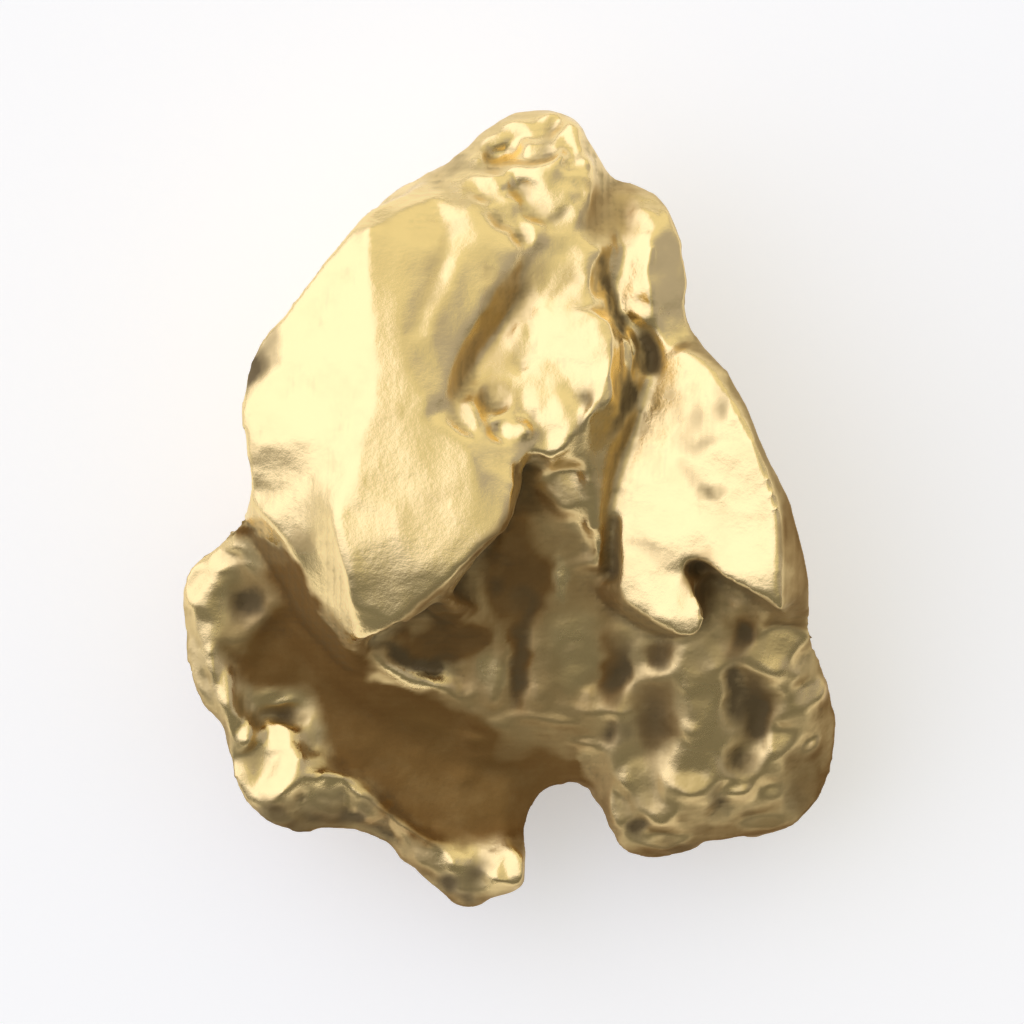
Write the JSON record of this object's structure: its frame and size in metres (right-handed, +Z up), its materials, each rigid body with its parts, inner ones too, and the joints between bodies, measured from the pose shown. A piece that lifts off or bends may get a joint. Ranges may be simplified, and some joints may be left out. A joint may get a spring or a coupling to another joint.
{
  "type": "gold nugget",
  "caption": "Water-worn native gold nugget: a lump with a smooth shield-shaped plate, a broad scale, a deep slot, a dark hollow, a scooped lobe, a lumpy lobe and a flat worn underside",
  "frame": {"origin": "middle of the bounding box on the ground plane, under the nugget's worn underside", "axes": "+Z up, away from the worn facet it lies on; +Y toward the knuckled crown, along the nugget's length; +X toward the broad scale"},
  "size_m": [0.0198, 0.0242, 0.011],
  "materials": {
    "native_gold": "polished natural gold, satin, with brown iron staining in the hollows"
  },
  "bodies": {
    "root": {"nugget": "native_gold"}
  },
  "joints": []
}
